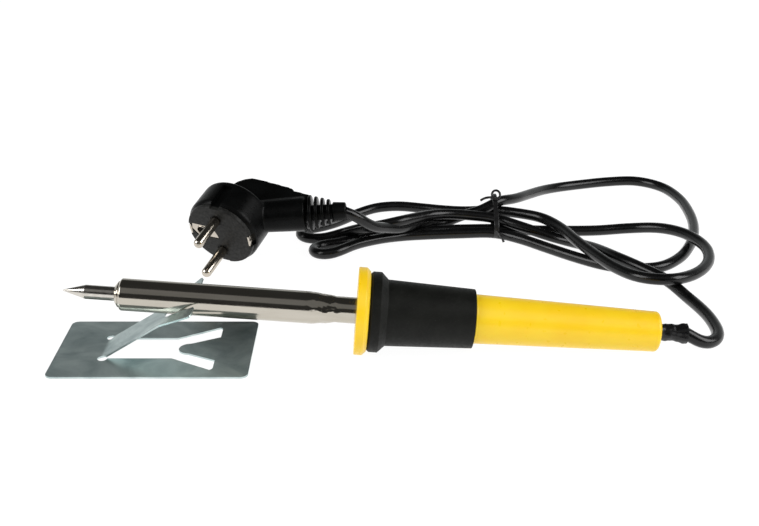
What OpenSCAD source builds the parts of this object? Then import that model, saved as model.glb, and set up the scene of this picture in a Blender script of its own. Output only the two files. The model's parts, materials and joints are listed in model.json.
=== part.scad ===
// Mains soldering iron lying on its bent sheet stand, with its cord tied in a hank and an angled plug.
// Millimetres. +Z up, the table is Z = 0, the iron lies along X with its tip towards -X.
// Nose to cord, the iron's own distances are measured along its axis from the finger guard's front face.

/* [Iron] */
// How far the iron's axis slopes down from the tip to the cord, degrees
tilt = 4.41; // [4.3:0.01:4.5]
// Where the guard's front face sits along X
iron_x = -0.7; // [-2:0.1:2]
// Diameter of the soldering bit
bit_d = 6; // [5.8:0.05:6.1]
// Reach of the bit's point in front of the guard
bit_reach = 120.6; // [116:0.1:126]
// Length of the pencil point's cone
bit_cone = 9.2; // [6:0.2:12]
// Diameter of the heater barrel
barrel_d = 13.4; // [13.2:0.1:13.4]
// Wall of the barrel
barrel_wall = 0.5; // [0.4:0.05:0.55]
// Reach of the barrel's nose in front of the guard
nose_reach = 99.1; // [99:0.1:99.3]
// Diameter of the barrel's swaged neck
neck_d = 10.9; // [10.8:0.1:11]

/* [Handle] */
// Diameter of the finger guard, which the iron rests on
guard_d = 36.4; // [36:0.1:36.6]
// Thickness of the finger guard
guard_t = 5; // [4.8:0.1:5.2]
// Depth of the chamfer at the guard's back
guard_chamfer = 1.6; // [1:0.1:2]
// Diameter of the grip sleeve's collar
collar_d = 33.4; // [32:0.1:34]
// Diameter of the grip sleeve behind its collar
grip_front_d = 27.6; // [27:0.1:28]
// Diameter of the grip sleeve at its rear edge
grip_rear_d = 24.6; // [24:0.1:25]
// Where the grip sleeve ends
grip_end = 48.6; // [48:0.1:49]
// Diameter of the handle where it leaves the sleeve
handle_front_d = 20.5; // [20.3:0.1:20.9]
// Diameter of the handle near its rear end
handle_rear_d = 16.85; // [16.7:0.05:17.1]
// Length of the handle behind the guard's front face
handle_end = 125.8; // [125.6:0.1:126.4]
// Radius of the handle's rounded rear edge
handle_fillet = 3.5; // [3:0.1:3.6]

/* [Stand] */
// Length of the stand's plate
plate_l = 81.5; // [80:0.5:84]
// Width of the stand's plate
plate_w = 51.4; // [50:0.2:56]
// Thickness of its sheet
sheet_t = 0.75; // [0.7:0.05:0.8]
// Left edge of the plate
plate_x = -125.5; // [-126:0.1:-125]
// Angle that the fork is bent up to
fork_angle = 31.6; // [31:0.1:31.7]
// Width of the fork's stem
stem_w = 18.5; // [17:0.1:20]
// Distance from the fold to the fork's crotch
crotch_l = 30.1; // [30:0.1:30.2]
// Distance from the fold to the ends of the tines
tine_l = 46.4; // [45:0.1:47]
// Width between the tines at their ends
fork_gap = 21.5; // [21:0.1:22]
// Width over the tines at their ends
fork_w = 39.6; // [39:0.1:40]

/* [Cord] */
// Diameter of the cord
cord_d = 5.4; // [5.2:0.05:5.5]
// Sides of the cord's tube
cord_sides = 8; // [8:1:12]

/* [Plug] */
// Diameter of the plug's face
plug_d = 37; // [36:0.1:38]
// Diameter of a contact pin
pin_d = 4.8; // [4.78:0.01:4.82]
// Length of a contact pin
pin_l = 19; // [18.8:0.1:19.2]
// Distance between the two pins
pin_pitch = 19; // [18.9:0.05:19.1]

/* [Hidden] */
$fn = 64;

gap = 0.05;                     // radial clearance of a close fit
far = 100;                      // longer than anything that is cut
barrel_r = barrel_d / 2;
barrel_bore = barrel_r - barrel_wall;
neck_r = neck_d / 2;
bit_r = bit_d / 2;
guard_r = guard_d / 2;
guard_z = guard_r * cos(tilt) + (guard_t - guard_chamfer) * sin(tilt);   // the guard's rim touches Z = 0

nose_hole_r = 3.3;              // opening in the barrel's spun nose
nose_l = 2.5;                   // length of the spun nose
nose_step = 1.5;                // length of its first step
swage_front = -18.8;            // where the barrel starts to narrow
swage_back = -8.2;              // where its neck begins
neck_end = 18;                  // rear end of the neck, inside the handle
holder_front = -97;             // front end of the bit's tube
holder_back = -38;
bit_back = -40;                 // rear end of the bit when it is home
holder_r = 3.7;
screw_u = -92.5;                // where the bit's clamp screw sits
screw_r = 1.5;
screw_head_r = 2.7;
screw_head_h = 1.9;
coil_r = 4.35;                  // middle radius of the heating coil
coil_wire_d = 0.5;
coil_turns = 14;
coil_front = -84;
coil_back = -42;
coil_steps = 12;                // points on each turn of the coil
bush_front = -36;
bush_back = -30;
wire_r = 0.4;
wire_ring = 1.25;               // radius of the circle that the wires are spread on
live_angle = 210;
neutral_angle = 330;
earth_angle = 90;
crimp_l = 7;
crimp_r = 1.05;
live_crimp = 28;                // front end of each splice
neutral_crimp = 38;
flange_r = 10.4;
flange_t = 1.2;
boss_r = 10;                    // the handle's core under the grip sleeve
boss_bore = 5.6;
boss_bore_end = 20;
core_bore = 7.5;                // room for the splices
core_flange_r = 15.2;           // the handle's front flange, inside the sleeve's collar
core_flange_end = 8.6;
rear_wall = 120.8;                // front side of the handle's rear wall
handle_hole_r = 3.7;
guard_screw_ring = 8;
guard_screw_r = 1.1;
guard_screw_head_r = 2;
guard_screw_end = 15;
sleeve_end = 137.8;             // rear end of the strain sleeve
sleeve_front = 117;             // front of the sleeve's flange, inside the handle
sleeve_r = 3.6;
sleeve_bore = cord_d / 2 + gap;
cord_end_front = 100;           // where the cord's jacket ends inside the handle
clamp_front = 102.5;
clamp_back = 106.5;

fold_x = -105.4;                // fold line of the fork
plate_y = 0.8;                  // the plate's middle across the iron
fork_y = 0.8;                   // the fork's middle
gap_y = 0.3;                    // middle of the gap between its tines
relief_d = 4;                   // round relief at each end of the fold
crotch_r = 4.7;
flare_l = 28.6;                 // distance from the fold to where the tines spread

face_centre = [-67.9, 87.6, 17.5];
plug_turn = [-68.7, 3.4, -23.7];
boot_lean = 22.8;                // how far the cable outlet leans back from the face
boot_root = 12.6;                // height of the outlet's axis in the body
boot_end = 56;
boot_neck = 36.7;              // where the ribs begin
rib_count = 4;
rib_pitch = 2.95;
rib_r = 9;
rib_t = 1.5;
rib_step = 0.85;                // how much smaller each rib is
body_rim = 18.3;                // height of the body's rim
body_h = 26.5;                  // height of its dome
grip_half = 6.8;                // half the width of the raised grip block
grip_block = [
    [-9, 18], [-7.5, 28.5], [-3, 34.5], [0, 36.3], [21, 35.2], [23.5, 34.6], [24.8, 33.4], [33.5, 33.2],
    [33.5, 20.5], [15, 17]
];
face_t = 1.95;                  // rim of the contact carrier
carrier_r = 15;
carrier_h = 9.8;
pin_root_r = 2;
pin_root_h = 6.9;
earth_x = -10;                  // the earth contact's place across the face
earth_r = 2.45;                 // its bore
clip_x = 17.9;                  // middle of the notches for the side contacts

lead_route = [
    [136.7, 0, 7.8], [144, -0.5, 3.9], [150, 3.5, 2.8], [153, 9.5, 2.8], [153.8, 17.5, 2.8],
    [153.4, 27.5, 2.8], [151.7, 37, 2.8]
];
hank_route = [
    [151.45, 37.65, 2.8], [148.3, 48.5, 3.2], [132, 68, 8.5], [122, 82, 8.6], [114.7, 99.5, 6],
    [107.3, 114.5, 2.8], [96, 122.5, 3.2], [83.3, 126, 6.5], [68, 134.5, 8.6], [46, 136, 10.2],
    [36, 131.5, 11.5], [18, 116, 13.6], [9, 114.5, 12], [-10, 121.8, 5], [-18, 120.6, 3],
    [-24.3, 119.7, 2.8], [-30, 122.2, 2.8], [-32.1, 127.5, 2.8], [-30, 132.8, 2.8],
    [-24.5, 135.4, 2.8], [-18, 139.5, 2.8], [-3.3, 155.5, 3], [7, 162.2, 4],
    [19, 163.6, 4.5], [31, 160.8, 4.5], [55, 152, 5.8], [81.7, 141, 8.8], [92.7, 134, 9], [100.7, 120.8, 8.8],
    [106.3, 103, 8.6], [113, 84, 8.6], [120.2, 66.9, 8.8], [128.5, 54, 10], [140, 49.5, 10.8],
    [152, 56.9, 9.5], [161.8, 69.4, 8.6], [166.6, 80.8, 8.6], [167.9, 95, 8.8], [162.5, 112, 8.6],
    [152.5, 125.6, 6.5], [138.6, 133.7, 3.2], [122.2, 131.6, 2.8], [90, 131.5, 2.8], [68, 133.5, 2.8],
    [40, 132, 2.8], [14, 126.5, 2.8], [-9, 115, 2.8], [-21.5, 109.8, 2.8], [-24.3, 104.5, 3],
    [-22, 98.8, 3.4], [-16.3, 96.3, 4], [-10.3, 99.3, 4.8], [8.3, 115.5, 4.4], [36, 126, 2.8], [68, 128, 2.8],
    [93, 107.5, 2.8], [118.7, 85, 2.8], [131.8, 81, 2.8], [144.3, 83, 2.8], [156.2, 94.5, 2.8],
    [169.4, 122, 2.8], [173.8, 139.5, 2.8], [176, 159, 2.8], [175.6, 181.2, 2.8], [169.8, 200.6, 2.8],
    [157.4, 210.6, 2.8], [141.2, 209.4, 2.8], [111.9, 198.8, 3.2], [91, 173.1, 8], [80.9, 156, 11.5],
    [71, 146, 13.4], [52, 142.5, 6.8], [42, 139.5, 4], [34, 133.8, 6.8], [20, 118.5, 9.2], [13, 111.5, 12],
    [1, 98.5, 20.5], [-4.6, 95.9, 26.4]
];
tie_route = [
    [69, 124, 4], [69, 124.6, 8], [69, 130, 12.6], [69, 139, 17], [69, 146.5, 17.4], [69, 151.2, 12],
    [69, 151.2, 6], [69, 146, 2], [69, 136, 1], [69, 126, 1], [69, 124, 4]
];

// ---- Helpers ----

// Moves a shape drawn along +X into the iron's place
module in_iron() {
    translate([iron_x, 0, guard_z]) rotate([0, tilt, 0]) children();
}

// Turns an outline of [radius, distance] points about the iron's axis
module turned(outline) {
    rotate([0, 90, 0]) rotate_extrude() polygon(outline);
}

// A tube or rod along the iron's axis, from one distance to another
module tube(from, to, outer, inner = 0) {
    translate([from, 0, 0]) rotate([0, 90, 0]) difference() {
        cylinder(r = outer, h = to - from);
        if (inner > 0) translate([0, 0, -1]) cylinder(r = inner, h = to - from + 2);
    }
}

// Puts a shape at one of the wires' places round the axis
module at_wire(angle) {
    rotate([angle, 0, 0]) translate([0, wire_ring, 0]) children();
}

// Points of an arc about [cr, cu], as [radius, distance]
function arc(cr, cu, r, a0, a1, n) =
    [for (i = [0:n]) let (a = a0 + (a1 - a0) * i / n) [cr + r * cos(a), cu + r * sin(a)]];

function unit(v) = v / norm(v);

// Direction of a route at its point i
function heading(p, i) = unit(p[min(i + 1, len(p) - 1)] - p[max(i - 1, 0)]);

// One ring of a swept tube, across its heading h
function ring(c, h, r, n) =
    let (s = unit(cross(h, abs(h.z) > 0.9 ? [1, 0, 0] : [0, 0, 1])), t = cross(s, h))
    [for (k = [0:n - 1]) c + r * (cos(360 * k / n) * s + sin(360 * k / n) * t)];

// A tube of radius r and n sides along route p
module swept(p, r, n) {
    m = len(p);
    points = [for (i = [0:m - 1]) each ring(p[i], heading(p, i), r, n)];
    sides = [for (i = [0:m - 2], k = [0:n - 1])
        let (a = i * n + k, b = i * n + (k + 1) % n) each [[a, b, b + n], [a, b + n, a + n]]];
    polyhedron(points, concat([[for (k = [n - 1:-1:0]) k]], sides, [[for (k = [0:n - 1]) (m - 1) * n + k]]));
}

// ---- Bit and heater ----

module bit() {
    color("silver") in_iron() turned([
        [0, -bit_reach], [0.35, -bit_reach + 0.2], [bit_r, -bit_reach + bit_cone],
        [bit_r, bit_back - 0.6], [bit_r - 0.6, bit_back], [0, bit_back]
    ]);
}

// Clamp screw of the bit, on the barrel's far side
module bit_screw() {
    tip = bit_r + gap;
    color("gainsboro") in_iron() translate([screw_u, 0, 0]) rotate([-90, 0, 0]) difference() {
        union() {
            translate([0, 0, tip]) cylinder(r = screw_r, h = barrel_r + 0.2 - tip);
            translate([0, 0, barrel_r + 0.15]) cylinder(r = screw_head_r, h = screw_head_h);
        }
        translate([-far / 2, -0.35, barrel_r + 0.15 + screw_head_h - 0.8]) cube([far, 0.7, 1]);
    }
}

module barrel() {
    lip = 1.7;
    color("silver") in_iron() difference() {
        turned([
            [nose_hole_r, -nose_reach], [3.9, -nose_reach], [5.1, -nose_reach + nose_step],
            [barrel_r, -nose_reach + nose_l],
            [barrel_r, swage_front], [barrel_r - 0.3, swage_front + 2.5], [neck_r + 0.3, swage_back - 2.5],
            [neck_r, swage_back], [neck_r, neck_end],
            [neck_r - barrel_wall, neck_end], [neck_r - barrel_wall, swage_back],
            [neck_r + 0.3 - barrel_wall, swage_back - 2.5], [barrel_bore - 0.3, swage_front + 2.5],
            [barrel_bore, swage_front], [barrel_bore, -nose_reach + nose_l + 0.2],
            [4.4, -nose_reach + lip], [nose_hole_r, -nose_reach + lip]
        ]);
        translate([screw_u, 0, 0]) rotate([-90, 0, 0]) cylinder(r = screw_r + 0.3, h = far);
    }
}

// Steel tube that the bit slides into; the heater is wound on it
module bit_holder() {
    collar_front = -95.1;
    collar_back = -88.5;
    color("darkgray") in_iron() difference() {
        union() {
            tube(holder_front, holder_back, holder_r);
            tube(collar_front, collar_back, barrel_bore - gap);
        }
        tube(holder_front - 1, holder_back + 1, bit_r + gap);
        translate([screw_u, 0, 0]) rotate([-90, 0, 0]) cylinder(r = screw_r + gap, h = far);
    }
}

module inner_mica() {
    coil_inside = coil_r * cos(180 / coil_steps) - coil_wire_d / 2;
    color("tan") in_iron() tube(coil_front - 3, coil_back + 3, coil_inside - gap, holder_r + gap);
}

module heating_coil() {
    last = coil_turns * coil_steps;
    coil = [for (i = [0:last]) let (a = 360 * i / coil_steps)
        [coil_front + (coil_back - coil_front) * i / last, coil_r * cos(a), coil_r * sin(a)]];
    color("dimgray") in_iron() swept(coil, coil_wire_d / 2, 6);
}

module outer_mica() {
    color("tan") in_iron() tube(coil_front - 4, coil_back + 4, 5.1, coil_r + coil_wire_d / 2 + gap);
}

module rear_bush() {
    color("white") in_iron() difference() {
        tube(bush_front, bush_back, barrel_bore - gap);
        for (a = [live_angle, neutral_angle]) at_wire(a) tube(bush_front - 1, bush_back + 1, wire_r + gap);
    }
}

module lead(angle, end) {
    color("lightgray") in_iron() at_wire(angle) tube(bush_front - 2, end, wire_r);
}

module live_lead() { lead(live_angle, live_crimp + 3); }

module neutral_lead() { lead(neutral_angle, neutral_crimp + 3); }

// Glass-fibre sleeves on the two heater leads
module lead_sleeves() {
    color("ivory") in_iron() {
        at_wire(live_angle) tube(bush_back, live_crimp - 0.2, 0.95, wire_r + gap);
        at_wire(neutral_angle) tube(bush_back, neutral_crimp - 0.2, 0.95, wire_r + gap);
    }
}

// ---- Handle ----

// Steel flange pressed on the barrel's neck and held by the guard's screws
module mount_flange() {
    color("silver") in_iron() difference() {
        tube(guard_t, guard_t + flange_t, flange_r - gap, neck_r);
        guard_screw_places() tube(0, guard_t + flange_t + 1, guard_screw_r + 0.1);
    }
}

module guard_screw_places() {
    for (a = [30, 150, 270]) rotate([a, 0, 0]) translate([0, guard_screw_ring, 0]) children();
}

module finger_guard() {
    color("gold") in_iron() difference() {
        turned([
            [neck_r + 0.2, 0], [guard_r - 0.4, 0], [guard_r, 0.4], [guard_r, guard_t - guard_chamfer],
            [guard_r - guard_chamfer, guard_t], [neck_r + 0.2, guard_t]
        ]);
        guard_screw_places() {
            tube(-1, guard_t + 1, guard_screw_r + 0.1);
            tube(-1, 1.6, guard_screw_head_r + 0.15);
        }
    }
}

module guard_screws() {
    color("silver") in_iron() guard_screw_places() difference() {
        union() {
            tube(0.2, 1.6, guard_screw_head_r);
            tube(1.6, guard_screw_end, guard_screw_r);
        }
        translate([0.1, -0.3, -far / 2]) cube([0.7, 0.6, far]);
    }
}

// Core under the sleeve and the visible rear handle, one moulding
module handle() {
    front = guard_t;
    r_end = handle_rear_d / 2;
    color("gold") in_iron() difference() {
        turned(concat(
            [
                [boss_bore, front + flange_t], [flange_r, front + flange_t], [flange_r, front],
                [core_flange_r, front], [core_flange_r, core_flange_end], [boss_r, core_flange_end],
                [boss_r, grip_end + 0.2], [handle_front_d / 2 - 0.6, grip_end + 0.2]
            ],
            arc(handle_front_d / 2 - 0.6, grip_end + 0.8, 0.6, -90, 0, 4),
            arc(r_end - handle_fillet, handle_end - handle_fillet, handle_fillet, 0, 90, 8),
            [
                [handle_hole_r, handle_end], [handle_hole_r, rear_wall], [5.2, rear_wall],
                [core_bore, rear_wall - 14], [core_bore, boss_bore_end], [boss_bore, boss_bore_end]
            ]
        ));
        guard_screw_places() tube(front - 1, guard_screw_end + 1, guard_screw_r);
    }
}

module grip_sleeve() {
    front = guard_t + 0.2;
    color("dimgray") in_iron() turned([
        [core_flange_r + gap, front], [collar_d / 2 - 0.8, front], [collar_d / 2, front + 1],
        [collar_d / 2, front + 4.4], [grip_front_d / 2, front + 7.3], [grip_rear_d / 2, grip_end],
        [boss_r + gap, grip_end], [boss_r + gap, core_flange_end + gap],
        [core_flange_r + gap, core_flange_end + gap]
    ]);
}

// Ring terminal that earths the barrel's neck
module earth_tag() {
    tag_t = 0.8;
    color("goldenrod") in_iron() difference() {
        union() {
            tube(neck_end, neck_end + tag_t, neck_r, 3.6);
            rotate([earth_angle, 0, 0]) translate([neck_end, wire_ring, -1]) cube([tag_t, 2.8, 2]);
            at_wire(earth_angle) tube(neck_end, neck_end + 5, 1);
        }
        at_wire(earth_angle) tube(neck_end + tag_t + 0.1, neck_end + 6, 0.6);
    }
}

module crimp_splices() {
    color("goldenrod") in_iron() {
        at_wire(live_angle) tube(live_crimp, live_crimp + crimp_l, crimp_r, wire_r + gap);
        at_wire(neutral_angle) tube(neutral_crimp, neutral_crimp + crimp_l, crimp_r, wire_r + gap);
    }
}

// One insulated core of the cord, with its stripped end in a crimp
module core(angle, front, shade) {
    color(shade) in_iron() at_wire(angle) {
        tube(front + 3.5, front + crimp_l + 0.1, wire_r);
        tube(front + crimp_l + 0.1, cord_end_front, 0.95);
    }
}

module live_core() { core(live_angle, live_crimp, "saddlebrown"); }

module neutral_core() { core(neutral_angle, neutral_crimp, "royalblue"); }

module earth_core() {
    color("yellowgreen") in_iron() at_wire(earth_angle) {
        tube(neck_end + 2, neck_end + 5.1, 0.5);
        tube(neck_end + 5.1, cord_end_front, 0.95);
    }
}

// Split collar that holds the jacket inside the handle
module cord_clamp() {
    color("white") in_iron() difference() {
        tube(clamp_front, clamp_back, core_bore - gap, cord_d / 2);
        translate([clamp_front - 1, -0.4, 3.2]) cube([clamp_back - clamp_front + 2, 0.8, far]);
    }
}

// The jacket's straight end inside the handle
module cord_end() {
    color("black") in_iron() tube(cord_end_front, sleeve_end, cord_d / 2);
}

module strain_sleeve() {
    color("black") in_iron() turned([
        [sleeve_bore, sleeve_front], [4.9, sleeve_front], [4.9, rear_wall - gap], [sleeve_r, rear_wall - gap],
        [sleeve_r, handle_end + 7], [4.25, sleeve_end], [sleeve_bore, sleeve_end]
    ]);
}

// ---- Cord ----

module cord_lead() { color("black") swept(lead_route, cord_d / 2, cord_sides); }

module cord_hank() { color("black") swept(hank_route, cord_d / 2, cord_sides); }

// Plastic-covered wire twisted round the hank
module twist_tie() {
    color("black") {
        swept(tie_route, 0.5, 8);
    }
}

// ---- Plug ----

// Puts a shape with its face at Z = 0 and its pins along -Z into the plug's place
module in_plug() {
    translate(face_centre) rotate(plug_turn) children();
}

// Along the cable outlet, as +Z, from the body's middle
module along_boot() {
    translate([0, 0, boot_root]) rotate([0, 90 - boot_lean, 0]) children();
}

// Notches at both sides of the plug for the sprung contacts
module clip_notches() {
    for (side = [-1, 1]) translate([side * clip_x, 0, 0]) cube([5, 7, 30], center = true);
}

module plug_body() {
    edge = 2.5;
    outlet_r = 8.4;
    core_r = 3.9;
    color("black") in_plug() difference() {
        union() {
            rotate_extrude() polygon(concat(
                [[0, face_t + 0.05], [plug_d / 2, face_t + 0.05]],
                arc(plug_d / 2 - edge, body_rim - edge, edge, 0, 60, 5),
                [[plug_d / 2 - 6, body_rim + 2.2], [7, body_h - 0.6], [0, body_h]]
            ));
            rotate([90, 0, 0]) linear_extrude(2 * grip_half, center = true) polygon(grip_block);
            along_boot() {
                translate([0, 0, 6]) cylinder(r1 = 7.6, r2 = outlet_r, h = boot_neck - 7);
                translate([0, 0, boot_neck - 3]) cylinder(r = core_r, h = 20);
                translate([0, 0, boot_end - 6]) cylinder(r1 = 4.6, r2 = core_r, h = 6);
                for (i = [0:rib_count - 1]) translate([0, 0, boot_neck + i * rib_pitch])
                    cylinder(r1 = rib_r - rib_step * i, r2 = rib_r - 0.4 - rib_step * i, h = rib_t);
            }
        }
        translate([0, 0, -1]) cylinder(r = carrier_r, h = carrier_h + 1);
        clip_notches();
        along_boot() translate([0, 0, boot_end - 20]) cylinder(r = sleeve_bore, h = 21);
    }
}

// Rigid carrier of the contacts, set in the body
module plug_face() {
    color("dimgray") in_plug() difference() {
        union() {
            cylinder(r = plug_d / 2, h = face_t);
            cylinder(r = carrier_r - gap, h = carrier_h - gap);
        }
        for (s = [-1, 1]) translate([0, s * pin_pitch / 2, -1])
            cylinder(r = pin_root_r + gap, h = pin_root_h + 1.1);
        translate([earth_x, 0, -1]) cylinder(r = earth_r + 0.55, h = pin_root_h + 1.1);
        clip_notches();
    }
}

module plug_pins() {
    tip = pin_d / 2;
    color("silver") in_plug() for (s = [-1, 1]) translate([0, s * pin_pitch / 2, 0]) {
        translate([0, 0, tip - pin_l]) {
            sphere(r = tip);
            cylinder(r = tip, h = pin_l - tip - gap);
            cylinder(r = pin_root_r, h = pin_l - tip + pin_root_h);
        }
    }
}

// Sprung side contacts of the protective earth, bent from one strip each
module plug_earth_clips() {
    color("gainsboro") in_plug() for (side = [-1, 1]) {
        translate([side * 15.9, 0, 5.5]) cube([0.8, 5.6, 11], center = true);
        translate([side * 16.5, 0, 5.5]) cube([0.4, 4, 7], center = true);
    }
}

// Female contact for an earth pin in the socket outlet
module plug_earth_socket() {
    color("silver") in_plug() translate([earth_x, 0, 0]) difference() {
        cylinder(r = earth_r + 0.5, h = pin_root_h);
        translate([0, 0, -1]) cylinder(r = earth_r, h = pin_root_h + 0.3);
    }
}

// ---- Stand ----

// Outline of the fork from its fold at x = 0, grown by a clearance all round
module fork_outline(grow = 0) {
    outer = fork_w / 2 + grow;
    neck = stem_w / 2 + grow;
    crotch = crotch_r - grow;
    flare = (fork_gap / 2 - crotch_r) / (tine_l - crotch_l - crotch_r);   // widening of each side of the gap
    reach = 2 * tine_l;
    difference() {
        polygon([
            [0, -neck], [flare_l, -neck], [tine_l + grow, -outer], [tine_l + grow, outer],
            [flare_l, neck], [0, neck]
        ]);
        translate([crotch_l + crotch_r, gap_y - fork_y]) {
            circle(r = crotch);
            polygon([
                [0, -crotch], [reach, -crotch - flare * reach], [reach, crotch + flare * reach], [0, crotch]
            ]);
        }
    }
}

module stand() {
    corner = 3;
    color("lightsteelblue") {
        linear_extrude(sheet_t) difference() {
            translate([plate_x, plate_y - plate_w / 2]) union() {
                translate([corner, 0]) square([plate_l - 2 * corner, plate_w]);
                translate([0, corner]) square([plate_l, plate_w - 2 * corner]);
                for (x = [corner, plate_l - corner], y = [corner, plate_w - corner])
                    translate([x, y]) circle(r = corner);
            }
            translate([fold_x, fork_y]) fork_outline(0.15);
            for (s = [-1, 1]) translate([fold_x, fork_y + s * (stem_w / 2 + 0.4)]) circle(d = relief_d);
        }
        translate([fold_x, fork_y, 0]) rotate([0, -fork_angle, 0]) linear_extrude(sheet_t) fork_outline();
    }
}

bit();
bit_screw();
barrel();
bit_holder();
inner_mica();
heating_coil();
outer_mica();
rear_bush();
live_lead();
neutral_lead();
lead_sleeves();
mount_flange();
finger_guard();
guard_screws();
handle();
grip_sleeve();
earth_tag();
crimp_splices();
live_core();
neutral_core();
earth_core();
cord_clamp();
cord_end();
strain_sleeve();
cord_lead();
cord_hank();
twist_tie();
plug_body();
plug_face();
plug_pins();
plug_earth_clips();
plug_earth_socket();
stand();
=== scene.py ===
# Soldering iron on its bent sheet stand, with its tied cord and angled plug, in a pale studio.
# Lengths are millimetres in the tables and metres in Blender.
import json
import math

import bmesh
import bpy
import numpy as np
from mathutils import Matrix, Vector, noise


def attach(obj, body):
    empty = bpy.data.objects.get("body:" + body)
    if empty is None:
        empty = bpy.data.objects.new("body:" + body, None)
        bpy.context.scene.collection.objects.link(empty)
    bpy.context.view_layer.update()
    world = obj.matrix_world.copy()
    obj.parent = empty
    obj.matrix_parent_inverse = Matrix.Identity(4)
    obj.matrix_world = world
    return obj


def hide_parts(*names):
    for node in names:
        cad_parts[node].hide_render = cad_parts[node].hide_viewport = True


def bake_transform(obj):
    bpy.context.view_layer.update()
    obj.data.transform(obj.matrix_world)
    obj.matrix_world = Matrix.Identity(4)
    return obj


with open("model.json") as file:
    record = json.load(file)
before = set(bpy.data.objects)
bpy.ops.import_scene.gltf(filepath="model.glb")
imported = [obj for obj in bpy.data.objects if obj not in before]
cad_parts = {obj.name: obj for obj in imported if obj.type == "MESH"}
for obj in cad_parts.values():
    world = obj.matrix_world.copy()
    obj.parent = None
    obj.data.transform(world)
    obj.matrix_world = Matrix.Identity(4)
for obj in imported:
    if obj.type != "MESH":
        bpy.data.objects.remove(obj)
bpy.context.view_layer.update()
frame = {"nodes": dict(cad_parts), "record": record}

NODES = frame["nodes"]
MM = 0.001

# ---- The iron's place ----
TILT = math.radians(4.41)
IRON_X = -0.7
GUARD_R = 18.2
GUARD_T = 5.0
GUARD_CHAMFER = 1.6
GUARD_Z = GUARD_R * math.cos(TILT) + (GUARD_T - GUARD_CHAMFER) * math.sin(TILT)
IRON = Matrix.Translation(Vector((IRON_X, 0, GUARD_Z)) * MM) @ Matrix.Rotation(TILT, 4, "Y")

# ---- The plug's place: its face at z = 0, pins along -z, cable outlet along +x ----
PLUG_AT = Vector((-67.9, 87.6, 17.5))
PLUG_TURN = [math.radians(a) for a in (-68.7, 3.4, -23.7)]
PLUG = (
    Matrix.Translation(PLUG_AT * MM)
    @ Matrix.Rotation(PLUG_TURN[2], 4, "Z")
    @ Matrix.Rotation(PLUG_TURN[1], 4, "Y")
    @ Matrix.Rotation(PLUG_TURN[0], 4, "X")
)
PLUG_R = 18.5
FACE_T = 1.95
BOOT_ROOT = 12.6
BOOT_LEAN = math.radians(22.8)
BOOT_END = 56.0
BOOT_NECK = 36.7
OUTLET_R = 8.4

# ---- Routes, in the row's frame ----
CORD_R = 2.7
CORD_ROUTE = [
    (136.7, 0, 7.8), (144, -0.5, 3.9), (150, 3.5, 2.8), (153, 9.5, 2.8), (153.8, 17.5, 2.8),
    (153.4, 27.5, 2.8), (151.7, 37, 2.8), (148.3, 48.5, 3.2), (141.8, 58.3, 6.5), (132, 68, 8.5),
    (122, 82, 8.6), (114.7, 99.5, 6), (107.3, 114.5, 2.8), (96, 122.5, 3.2), (83.3, 126, 6.5),
    (68, 134.5, 8.6), (57, 137, 9), (46, 136, 10.2), (36, 131.5, 11.5), (27, 123.5, 12.8),
    (18, 116, 13.6), (9, 114.5, 12), (-1, 118, 9), (-10, 121.8, 5), (-18, 120.6, 3),
    (-24.3, 119.7, 2.8), (-30, 122.2, 2.8), (-32.1, 127.5, 2.8), (-30, 132.8, 2.8),
    (-24.5, 135.4, 2.8), (-18, 139.5, 2.8), (-11, 146.5, 2.8), (-3.3, 155.5, 3), (7, 162.2, 4),
    (19, 163.6, 4.5), (31, 160.8, 4.5), (43, 156, 5), (55, 152, 5.8), (68, 147.5, 8),
    (81.7, 141, 8.8), (92.7, 134, 9), (100.7, 120.8, 8.8), (106.3, 103, 8.6), (113, 84, 8.6),
    (120.2, 66.9, 8.8), (128.5, 54, 10), (140, 49.5, 10.8), (152, 56.9, 9.5), (161.8, 69.4, 8.6),
    (166.6, 80.8, 8.6), (167.9, 95, 8.8), (162.5, 112, 8.6), (152.5, 125.6, 6.5),
    (138.6, 133.7, 3.2), (122.2, 131.6, 2.8), (106, 131, 2.8), (90, 131.5, 2.8), (68, 133.5, 2.8),
    (54, 133, 2.8), (40, 132, 2.8), (27, 130, 2.8), (14, 126.5, 2.8), (2, 121, 2.8), (-9, 115, 2.8),
    (-16, 112.2, 2.8), (-21.5, 109.8, 2.8), (-24.3, 104.5, 3), (-22, 98.8, 3.4), (-16.3, 96.3, 4),
    (-10.3, 99.3, 4.8), (-3.5, 106.5, 5), (8.3, 115.5, 4.4), (21, 122.8, 3.2), (36, 126, 2.8),
    (52, 127.5, 2.8), (68, 128, 2.8), (80, 120.5, 2.8), (93, 107.5, 2.8), (105.7, 95, 2.8),
    (118.7, 85, 2.8), (131.8, 81, 2.8), (144.3, 83, 2.8), (156.2, 94.5, 2.8), (163.8, 108, 2.8),
    (169.4, 122, 2.8), (173.8, 139.5, 2.8), (176, 159, 2.8), (175.6, 181.2, 2.8),
    (169.8, 200.6, 2.8), (157.4, 210.6, 2.8), (141.2, 209.4, 2.8), (124.7, 204.5, 2.8),
    (111.9, 198.8, 3.2), (101, 188.6, 5), (91, 173.1, 8), (80.9, 156, 11.5), (71, 146, 13.4),
    (62.3, 142.5, 10), (52, 142.5, 6.8), (42, 139.5, 4), (34, 133.8, 6.8), (27, 127, 8.3),
    (20, 118.5, 9.2), (13, 111.5, 12), (6, 103, 16), (1, 98.5, 20.5), (-3, 96.5, 24),
    (-8, 95.7, 26.4),
]
TIE_ROUTE = [
    (69, 124, 4), (69, 124.6, 8), (69, 130, 12.6), (69, 139, 17), (69, 146.5, 17.4),
    (69, 151.2, 12), (69, 151.2, 6), (69, 146, 2), (69, 136, 1), (69, 126, 1), (69, 124, 4),
]
TIE_X = 69.0

# ---- Meshes ----


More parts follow.
